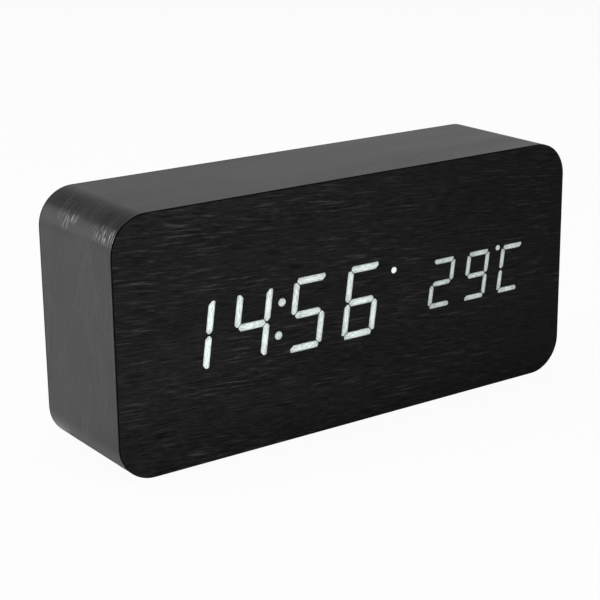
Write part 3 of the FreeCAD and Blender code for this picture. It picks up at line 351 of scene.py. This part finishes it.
skin, tone, gloss = film("wrap_film", "UV", *WRAP_FILM)
spot = skin.add("SeparateXYZ", skin.place())
# Painted highlight: pale glint streaks painted into the wrap's colour in a band round the upper
# bends, in clusters along the depth.
glint_band = skin.maths("MULTIPLY", skin.spread(spot.outputs["Z"], GLINT_LOW, GLINT_LOW + GLINT_FADE),
                    skin.spread(spot.outputs["Z"], GLINT_HIGH, GLINT_HIGH - GLINT_FADE))
painted_glints = skin.spread(skin.noise(skin.place(GLINT_GRAIN, source="UV")), *GLINT_EDGES)
depth = skin.maths("SUBTRACT", spot.outputs["Y"], low.y + GLINT_FIRST)
swell = skin.maths("COSINE", skin.maths("MULTIPLY", depth, 2 * math.pi / GLINT_PITCH))
patches = skin.spread(skin.noise(skin.place(PATCH_GRAIN, source="UV")), *NOISE_RANGE,
                      -PATCH_SWING, PATCH_SWING)
patches = skin.maths("ADD", swell, patches)
patches = skin.maths("ADD", patches, skin.spread(depth, 0, GLINT_PITCH, PATCH_FRONT, PATCH_REAR))
patches = skin.spread(patches, *PATCH_EDGES, FEWEST_GLINTS, 1.0)
painted_glints = skin.maths("MULTIPLY", skin.maths("MULTIPLY", painted_glints, patches), glint_band)
tone = skin.mix(painted_glints, tone, PAINTED_GLINT)
fit("wrap_veneer_laid", mesh, "clock", [skin.wear(tone, gloss)], ["wrap_veneer"])

# Front veneer: a sheet of the film over the whole front, so thin that the lights shine through it.
# Its cut edges take a near-black matt finish, painted shade that shows as a black line round the
# front and round every stroke. Its colour is painted darker towards the right, as painted shade.
FRONT_GROUND = (0.0092, 0.0092, 0.0095)
FRONT_FILM = (FRONT_GROUND, (0.0145, 0.014, 0.014), (0.064, 0.064, 0.064), 0.06, 0.45, 0.02 * MM)
RIGHT_SHADE, RIGHT_SHADE_START, RIGHT_SHADE_END, RIGHT_SHADE_SHARE = (0.0015, 0.0015, 0.0016), -50 * MM, 70 * MM, 0.62
FRONT_EASE, STROKE_EASE = 0.20 * MM, 0.08 * MM
FRONT_MARGIN = 1.01 * CORNER
ON_FACE, SIDEWAYS, SQUARE = 0.01 * MM, 0.5, 1.0
WELD, FLAT = 0.002 * MM, math.radians(0.3)
EDGE_SHADE_GRAIN = (900, 900, 900)
EDGE_SHADE_DARK, EDGE_SHADE_PALE = (0.002, 0.002, 0.002), (0.005, 0.0045, 0.004)


def cad_copy(node):
    """A CAD node's mesh with its loose triangles joined, and flat ones merged."""
    mesh = bmesh.new()
    mesh.from_mesh(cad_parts[node].data)
    bmesh.ops.remove_doubles(mesh, verts=mesh.verts, dist=WELD)
    bmesh.ops.dissolve_limit(mesh, angle_limit=FLAT, verts=mesh.verts, edges=mesh.edges)
    return mesh


def shade_cut_faces(mesh):
    """Give the faces that look sideways the second material, which is the painted edge shade."""
    for face in mesh.faces:
        face.material_index = 1 if abs(face.normal.y) < SIDEWAYS else 0


# Painted shade: a near-black matt finish for the film's cut edges and the rims round the strokes,
# standing in for the shade along them.
edge_shade_finish = Finish("painted_edge_shade", roughness=0.9, specular=0.05)
painted_edge_shade = edge_shade_finish.wear(edge_shade_finish.mix(edge_shade_finish.noise(edge_shade_finish.place(EDGE_SHADE_GRAIN)), EDGE_SHADE_DARK, EDGE_SHADE_PALE))
skin, tone, gloss = film("front_film", "Object", *FRONT_FILM)
spot = skin.add("SeparateXYZ", skin.place())
# Painted shade: the film's colour darkens towards the right, where less lamp light falls.
right_shade = skin.spread(spot.outputs["X"], RIGHT_SHADE_START, RIGHT_SHADE_END, 0.0, RIGHT_SHADE_SHARE)
tone = skin.mix(right_shade, tone, RIGHT_SHADE)
low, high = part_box("front_veneer")
mesh = cad_copy("front_veneer")
shade_cut_faces(mesh)
rims = [edge for edge in mesh.edges if edge.is_manifold and edge.calc_face_angle(0) > SQUARE
        and all(abs(vert.co.y - low.y) < ON_FACE for vert in edge.verts)]
outer = [edge for edge in rims
         if any(abs(vert.co.x) > high.x - FRONT_MARGIN
                or not low.z + FRONT_MARGIN < vert.co.z < high.z - FRONT_MARGIN
                for vert in edge.verts)]
strokes = [edge for edge in rims if edge not in outer]
# The eased rims round the front and round every stroke take the second material, the painted edge
# shade.
for edges, width in ((outer, FRONT_EASE), (strokes, STROKE_EASE)):
    bmesh.ops.bevel(mesh, geom=edges, offset=width, offset_type="OFFSET", segments=1,
                    profile=0.5, affect="EDGES", material=1)
fit("front_veneer_laid", mesh, "clock", [skin.wear(tone, gloss), painted_edge_shade],
    ["front_veneer"])

# Glowing places of the front veneer: the film lets the light through unevenly, brightest over each
# stroke's lamp. The lamps of the time are brightest at the first digit, and those of the
# temperature are dimmer.
GLOW_COLOUR = (0.90, 1.0, 0.97)
SLANT = math.tan(math.radians(8))
DOT_SPAN = 3.0 * MM
# Each digit's left bound, and its lamps' level.
DIGIT_LAMPS = [(-60 * MM, 0.90), (-42 * MM, 0.76), (-24 * MM, 0.67), (-8 * MM, 0.67)]
COLON_LAMP, INDICATOR_LAMP, TEMPERATURE_LAMP = 0.58, 0.88, 0.48
CENTRE_SHINE, END_FALL = 1.12, 0.30
RIM_START, RIM_SHINE, CORE_SHINE = 0.45, 0.55, 1.08
WEAVE, STROKE_WEAVE, WEAVE_SWING = (160, 1, 160), (3.2, 3.2, 0), (0.62, 1.38)
FORWARD = -0.9


def glow_finish(name):
    """Lit film. The stroke map runs from -1 to 1 along each stroke and across it."""
    light = Finish(name, roughness=0.45, specular=0.10)
    stroke = light.add("TexCoord").outputs["UV"]
    halves = light.add("SeparateXYZ", stroke)
    along, across = (light.maths("ABSOLUTE", halves.outputs[axis]) for axis in "XY")
    fall = light.maths("MULTIPLY", light.maths("MULTIPLY", along, along), END_FALL)
    shine = light.maths("SUBTRACT", CENTRE_SHINE, fall)
    rim = light.spread(across, 1.0, RIM_START, RIM_SHINE, CORE_SHINE)
    shine = light.maths("MULTIPLY", shine, rim)
    weave = light.vectors("ADD", light.vectors("MULTIPLY", stroke, STROKE_WEAVE),
                          light.place(WEAVE))
    weave = light.spread(light.noise(weave, roughness=0.55), *NOISE_RANGE, *WEAVE_SWING)
    shine = light.maths("MULTIPLY", shine, weave)
    lamp = light.add("Attribute", attribute_name="lamp").outputs["Fac"]
    shine = light.maths("MULTIPLY", shine, lamp)
    shader = light.shader.inputs
    light.feed(shader["Emission Color"], light.mix(shine, (0, 0, 0), GLOW_COLOUR))
    shader["Emission Strength"].default_value = 1.0
    return light.wear((*FRONT_GROUND, 1))


def lamp_level(node, place, span):
    """How brightly the lamp behind a stroke or dot shines."""
    if node == "temperature_glow":
        return TEMPERATURE_LAMP
    if max(span) < DOT_SPAN:
        return INDICATOR_LAMP if place.x > 0 else COLON_LAMP
    return [level for left, level in DIGIT_LAMPS if place.x > left][-1]


for node in ("time_glow", "temperature_glow"):
    mesh = cad_copy(node)
    stroke_map = mesh.loops.layers.uv.new("stroke")
    lamp = mesh.faces.layers.float.new("lamp")
    face_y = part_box(node)[0].y
    for face in mesh.faces:
        place = face.calc_center_median()
        if face.normal.y > FORWARD or abs(place.y - face_y) > ON_FACE:
            continue
        upright = [Vector((loop.vert.co.x - loop.vert.co.z * SLANT, loop.vert.co.z))
                   for loop in face.loops]
        least, most = (Vector([end(axis) for axis in zip(*upright)]) for end in (min, max))
        span = most - least
        face[lamp] = lamp_level(node, place, span)
        for loop, spot in zip(face.loops, upright):
            part = [2 * (spot[i] - least[i]) / span[i] - 1 for i in (0, 1)]
            loop[stroke_map].uv = part if span.x > span.y else part[::-1]
    fit(f"{node}_lit", mesh, "clock", [glow_finish(f"{node}_light")], [node])

# Rear veneer: a ring of the wrap's film, laid flat on the back of the block round the cover. Its
# cut edges take the same near-black painted edge shade, and are a little rounded by wear.
EASED_FROM = math.radians(35)
FULL_WEIGHT = 100


def ease(piece, width, steps=2):
    """Take the sharpness off a piece's edges, and keep its flats flat."""
    piece.data.set_sharp_from_angle(angle=math.pi)
    bevel = piece.modifiers.new("eased_edges", "BEVEL")
    bevel.width = width
    bevel.segments = steps
    bevel.limit_method = "ANGLE"
    bevel.angle_limit = EASED_FROM
    flats = piece.modifiers.new("flats", "WEIGHTED_NORMAL")
    flats.weight = FULL_WEIGHT


skin, tone, gloss = film("rear_film", "Object", *WRAP_FILM)
mesh = cad_copy("rear_veneer")
shade_cut_faces(mesh)
ring = fit("rear_veneer_laid", mesh, "clock", [skin.wear(tone, gloss), painted_edge_shade],
           ["rear_veneer"])
ease(ring, CUT_EASE)

# Case block: fibreboard, routed hollow from behind. The rebate that takes the cover is sprayed
# black.
FIBRE_GRAIN, FIBRE_DARK, FIBRE_PALE = (1400, 1400, 1400), (0.30, 0.20, 0.12), (0.46, 0.34, 0.22)
FLECK_DEPTH = 0.05 * MM
SPRAY, SPRAY_REACH, SPRAY_FADE = (0.006, 0.006, 0.006), 6.0 * MM, 0.5 * MM


def paint(node, material):
    """Give a CAD node its finish."""
    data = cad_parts[node].data
    data.materials.clear()
    data.materials.append(material)


board = Finish("fibreboard", roughness=0.85, specular=0.2)
flecks = board.noise(board.place(FIBRE_GRAIN), detail=4, roughness=0.7)
board.bump(flecks, FLECK_DEPTH)
fibre = board.mix(board.spread(flecks, *NOISE_RANGE), FIBRE_DARK, FIBRE_PALE)
ragged = board.maths("ADD", board.add("SeparateXYZ", board.place()).outputs["Y"],
                     board.spread(flecks, *NOISE_RANGE, -SPRAY_FADE, SPRAY_FADE))
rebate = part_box("case_block")[1].y - SPRAY_REACH
sprayed = board.spread(ragged, rebate, rebate + SPRAY_FADE)
paint("case_block", board.wear(board.mix(sprayed, fibre, SPRAY)))

# Display: a black housing with resin light guides in its wells, screwed over a board with one
# light for each. A ribbon joins its socket to the main board's.
CLOUD_GRAIN, CLOUD_EDGES, PALEST_BLACK = (70, 70, 70), (0.35, 0.65), 0.002
PITS_SMOOTH, PITS_ROUGH = 0.06, 0.08
MARK_GRAIN, MARK_DEPTH, MARKS_SMOOTH, MARKS_ROUGH = (300, 5000, 300), 0.004 * MM, 0.08, 0.12
DULL_GRAIN, DULLED = (400, 400, 400), 0.72
TRACK_GRAIN, TRACK_LINES, TRACK_EDGES, TRACK_DEPTH = (260, 260, 260), 26, (0.2, 0.5), 0.03 * MM
RESIN_GRAIN, RESIN_DEPTH = (500, 500, 500), 0.01 * MM
RESIN_DARK, RESIN_PALE = (0.70, 0.72, 0.70), (0.85, 0.87, 0.84)
SPECK_GRAIN = (3000, 3000, 3000)
PHOSPHOR_DARK, PHOSPHOR_PALE = (0.72, 0.58, 0.18), (0.90, 0.84, 0.55)
CORES_A_METRE, CORE_DEPTH = 160.0, 0.15 * MM
CORE_DARK, CORE_PALE = (0.30, 0.30, 0.32), (0.52, 0.52, 0.54)


def moulded(name, colour, roughness=0.5, grain=2600, relief=0.012, tint=0.25):
    """Moulded plastic with a fine spark-eroded texture.

    Grain is its features a metre, relief their depth in millimetres, and tint the share by which
    its cloudy patches are paler.
    """
    plastic = Finish(name)
    pits = plastic.noise(plastic.place((grain,) * 3), detail=3, roughness=0.6)
    cloud = plastic.noise(plastic.place(CLOUD_GRAIN), detail=3)
    paler = tuple(part * (1 + tint) + PALEST_BLACK for part in colour)
    plastic.bump(pits, relief * MM)
    tone = plastic.mix(plastic.spread(cloud, *CLOUD_EDGES), colour, paler)
    return plastic.wear(tone, plastic.spread(pits, *NOISE_RANGE, roughness - PITS_SMOOTH,
                                             roughness + PITS_ROUGH))


def plated(name, colour, roughness=0.3):
    """Plated metal with faint drawing marks and cloudy patches."""
    metal = Finish(name, metallic=1.0)
    marks = metal.noise(metal.place(MARK_GRAIN))
    cloud = metal.noise(metal.place(DULL_GRAIN), detail=3)
    duller = tuple(part * DULLED for part in colour)
    metal.bump(marks, MARK_DEPTH)
    tone = metal.mix(metal.spread(cloud, *NOISE_RANGE), colour, duller)
    return metal.wear(tone, metal.spread(marks, *NOISE_RANGE, roughness - MARKS_SMOOTH,
                                         roughness + MARKS_ROUGH))


def mask_board(name, ground, track):
    """Circuit board: solder mask over copper tracks that run slantwise round each other."""
    sheet = Finish(name, roughness=0.35)
    islands = sheet.add("TexVoronoi", Vector=sheet.place(TRACK_GRAIN), distance="MANHATTAN",
                        feature="F1", Scale=1.0)
    waves = sheet.maths("MULTIPLY", islands.outputs["Distance"], TRACK_LINES)
    lines = sheet.spread(sheet.maths("SINE", waves), *TRACK_EDGES)
    sheet.bump(lines, TRACK_DEPTH)
    return sheet.wear(sheet.mix(lines, ground, track))


housing_plastic = moulded("housing_plastic", (0.012, 0.012, 0.012), 0.45)
paint("display_reflector", housing_plastic)
resin = Finish("guide_resin", roughness=0.3)
haze = resin.noise(resin.place(RESIN_GRAIN), detail=3)
resin.bump(haze, RESIN_DEPTH)
guide_resin = resin.wear(resin.mix(haze, RESIN_DARK, RESIN_PALE))
for node in ("time_diffusers", "temperature_diffusers"):
    paint(node, guide_resin)
phosphor = Finish("chip_phosphor", roughness=0.6)
specks = phosphor.noise(phosphor.place(SPECK_GRAIN))
paint("segment_leds", phosphor.wear(phosphor.mix(specks, PHOSPHOR_DARK, PHOSPHOR_PALE)))
green_board = mask_board("solder_mask", (0.010, 0.075, 0.028), (0.022, 0.15, 0.055))
paint("display_board", green_board)
epoxy = moulded("chip_epoxy", (0.022, 0.022, 0.023), 0.55, grain=9000, relief=0.004)
paint("display_driver", epoxy)
zinc = plated("zinc_plate", (0.58, 0.58, 0.55), 0.32)
for node in ("display_screws", "board_screws"):
    paint(node, zinc)
nylon = moulded("socket_nylon", (0.72, 0.69, 0.60), 0.45, grain=1200, relief=0.006, tint=0.08)
for node in ("display_socket", "board_socket"):
    paint(node, nylon)
ribbon = Finish("ribbon_insulation")
cores = ribbon.add("TexWave", Vector=ribbon.place(), bands_direction="X",
                   Scale=CORES_A_METRE).outputs["Fac"]
ribbon.bump(cores, CORE_DEPTH)
paint("ribbon_cable", ribbon.wear(ribbon.mix(cores, CORE_DARK, CORE_PALE)))

# Main board: carried on the cover's posts, with its chip, crystal, capacitor, buzzer, microphone,
# sensor, power socket and switches.
paint("main_board", green_board)
paint("microcontroller", epoxy)
can = plated("drawn_can", (0.66, 0.66, 0.67), 0.25)
for node in ("clock_crystal", "microphone"):
    paint(node, can)
sleeve = moulded("capacitor_sleeve", (0.012, 0.016, 0.06), 0.35, grain=700, relief=0.01)
paint("smoothing_capacitor", sleeve)
paint("alarm_buzzer", moulded("buzzer_plastic", (0.016, 0.016, 0.016), 0.5))
bead = moulded("bead_resin", (0.018, 0.018, 0.02), 0.25, grain=900, relief=0.03)
paint("temperature_sensor", bead)
paint("power_socket", housing_plastic)
paint("socket_pin", plated("socket_pin_plate", (0.80, 0.66, 0.38), 0.25))
switch_plastic = moulded("switch_plastic", (0.030, 0.030, 0.030), 0.45, grain=1800)
for node in ("switch_bodies", "set_plunger", "up_plunger", "down_plunger"):
    paint(node, switch_plastic)

# Rear cover: one black moulding in the block's rebate, with a fine matt texture, eased edges and
# four sunk screws.
COVER_EASE = 0.15 * MM

cover_plastic = moulded("cover_plastic", (0.018, 0.018, 0.019), 0.52)
cover = fit("rear_cover_moulding", cad_copy("rear_cover"), "clock", [cover_plastic],
            ["rear_cover"])
ease(cover, COVER_EASE, 3)
black_zinc = plated("black_zinc", (0.10, 0.10, 0.105), 0.35)
screws = fit("cover_screws_turned", cad_copy("cover_screws"), "clock", [black_zinc],
             ["cover_screws"])
ease(screws, COVER_EASE)

# Buttons: three dished caps of a smoother plastic. They stand a little proud of the cover, and
# each presses the stem of its switch.
CAP_EASE = 0.2 * MM

button_plastic = moulded("button_plastic", (0.042, 0.042, 0.044), 0.36, grain=5000, relief=0.004)
for key in ("set", "up", "down"):
    node = f"{key}_button"
    cap = fit(f"{node}_cap", cad_copy(node), f"{key}_key", [button_plastic], [node])
    ease(cap, CAP_EASE, 3)

# Signs: pale ink, pad-printed on the cover. A ring stands over the first button, arrowheads stand
# over the other two, and the plug's polarity over the power socket.
INK, BEDDED = 0.03 * MM, 0.05 * MM
SIGN_RISE, SIGN_RADIUS, SIGN_STROKE = 5.4 * MM, 1.35 * MM, 0.45 * MM
POLARITY_RISE, POLARITY_REACH = 6.4 * MM, 3.5 * MM
POLE_DOT, POLE_LENGTH = 0.4 * SIGN_RADIUS, 4 * SIGN_STROKE
JOIN_LENGTH, JOIN_STROKE = 2 * SIGN_STROKE, 0.6 * SIGN_STROKE
ROUND_CORNERS = 32
COVERAGE_GRAIN, COVERAGE_EDGES = (3500, 3500, 3500), (0.35, 0.55)
THIN_INK, FULL_INK = (0.30, 0.30, 0.31), (0.50, 0.50, 0.51)

cover_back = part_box("rear_cover")[1].y
signs = bmesh.new()


def middle(node):
    """The middle of a CAD node's box."""
    low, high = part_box(node)
    return (low + high) / 2


def raise_sign(verts, x, z):
    """Stand a flat sign upright at its place on the cover, and give it the ink's thickness."""
    place = Matrix.Translation((x, cover_back - BEDDED, z)) @ Matrix.Rotation(math.pi / 2, 4, "X")
    bmesh.ops.transform(signs, verts=verts, matrix=place)
    faces = [face for face in signs.faces if all(vert in verts for vert in face.verts)]
    drawn = bmesh.ops.extrude_face_region(signs, geom=faces, use_keep_orig=True)["geom"]
    bmesh.ops.translate(signs, vec=(0, BEDDED + INK, 0),
                        verts=[part for part in drawn if isinstance(part, bmesh.types.BMVert)])


def raise_disc(x, z, radius, corners=ROUND_CORNERS, turn=0):
    """A disc, or with three corners an arrowhead that points up."""
    disc = bmesh.ops.create_circle(signs, cap_ends=True, segments=corners, radius=radius,
                                   matrix=Matrix.Rotation(turn, 4, "Z"))
    raise_sign(disc["verts"], x, z)


def raise_ring(x, z):
    """A ring, as wide as the arrowheads."""
    rim = bmesh.ops.create_circle(signs, cap_ends=True, segments=ROUND_CORNERS,
                                  radius=SIGN_RADIUS)["verts"]
    disc = rim[0].link_faces[0]
    around = bmesh.ops.inset_region(signs, faces=[disc], thickness=SIGN_STROKE,
                                    use_boundary=True)["faces"]
    bmesh.ops.delete(signs, geom=[disc], context="FACES_ONLY")
    raise_sign(list({vert for face in around for vert in face.verts}), x, z)


def raise_bar(x, z, width, height):
    """An upright or level bar."""
    bar = bmesh.ops.create_grid(signs, x_segments=1, y_segments=1, size=0.5,
                                matrix=Matrix.Diagonal((width, height, 1, 1)))
    raise_sign(bar["verts"], x, z)


place = middle("set_button")
raise_ring(place.x, place.z + SIGN_RISE)
for key, turn in (("up", 0), ("down", math.pi)):
    place = middle(f"{key}_button")
    raise_disc(place.x, place.z + SIGN_RISE, SIGN_RADIUS, 3, turn)
place = middle("power_socket")
level = place.z + POLARITY_RISE
raise_ring(place.x, level)
raise_disc(place.x, level, POLE_DOT)
for side in (-1, 1):
    join = place.x + side * (SIGN_RADIUS + SIGN_STROKE)
    raise_bar(join, level, JOIN_LENGTH, JOIN_STROKE)
    raise_bar(place.x + side * POLARITY_REACH, level, POLE_LENGTH, SIGN_STROKE)
raise_bar(place.x - POLARITY_REACH, level, SIGN_STROKE, POLE_LENGTH)
bmesh.ops.recalc_face_normals(signs, faces=signs.faces)
print_ink = Finish("print_ink", roughness=0.6, specular=0.3)
coverage = print_ink.noise(print_ink.place(COVERAGE_GRAIN), detail=3)
coverage = print_ink.spread(coverage, *COVERAGE_EDGES)
pale_ink = print_ink.wear(print_ink.mix(coverage, THIN_INK, FULL_INK))
fit("cover_signs", signs, "clock", [pale_ink])

# Battery door: a plate of the cover's plastic, with ribs for the thumb. It turns on two pins at its
# lower edge.
door = fit("battery_door_moulding", cad_copy("battery_door"), "door", [cover_plastic],
           ["battery_door"])
ease(door, COVER_EASE, 3)

# Battery bay: three round cells, laid head to tail between springs and contact plates, with leads
# to the main board. Each cell is a nickel-plated can in a shrunk slate-grey sleeve, with a pale
# stripe to mark the cap's end.
NICKEL, STRIPE, SLEEVE = (0.66, 0.63, 0.58), (0.42, 0.43, 0.43), (0.050, 0.060, 0.070)
CAP_END, STRIPE_START, STRIPE_END, SLEEVE_END = 1.7 * MM, 5.0 * MM, 7.0 * MM, 43.6 * MM
SLEEVE_EDGE = 0.05 * MM
CELLS = 3
CREASE_GRAIN, CREASE_DEPTH, CREASE_GLOSS = (120, 900, 900), 0.02 * MM, (0.25, 0.4)

nickel = plated("nickel_plate", NICKEL, 0.28)
for node in ("battery_springs", "battery_contacts"):
    paint(node, nickel)
cells = cad_copy("battery_cells")
from_cap = cells.verts.layers.float.new("from_cap")
low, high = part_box("battery_cells")
for vert in cells.verts:
    row = min(int(CELLS * (vert.co.z - low.z) / (high.z - low.z)), CELLS - 1)
    vert[from_cap] = vert.co.x - low.x if row == 1 else high.x - vert.co.x
skin = Finish("cell_skin")
distance = skin.add("Attribute", attribute_name="from_cap").outputs["Fac"]
creases = skin.noise(skin.place(CREASE_GRAIN), detail=3)
tone, metallic = NICKEL, 1.0
for end, colour, metal in ((CAP_END, SLEEVE, 0.0), (STRIPE_START, STRIPE, 0.0),
                           (STRIPE_END, SLEEVE, 0.0), (SLEEVE_END, NICKEL, 1.0)):
    past = skin.spread(distance, end, end + SLEEVE_EDGE)
    tone = skin.mix(past, tone, colour)
    metallic = skin.spread(past, 0.0, 1.0, metallic, metal)
skin.feed(skin.shader.inputs["Metallic"], metallic)
skin.bump(creases, CREASE_DEPTH)
sleeved = skin.wear(tone, skin.spread(creases, *NOISE_RANGE, *CREASE_GLOSS))
fit("battery_cells_sleeved", cells, "clock", [sleeved], ["battery_cells"])
red_plastic = moulded("lead_insulation", (0.30, 0.012, 0.012), 0.4, grain=500, relief=0.01)
paint("battery_leads", red_plastic)
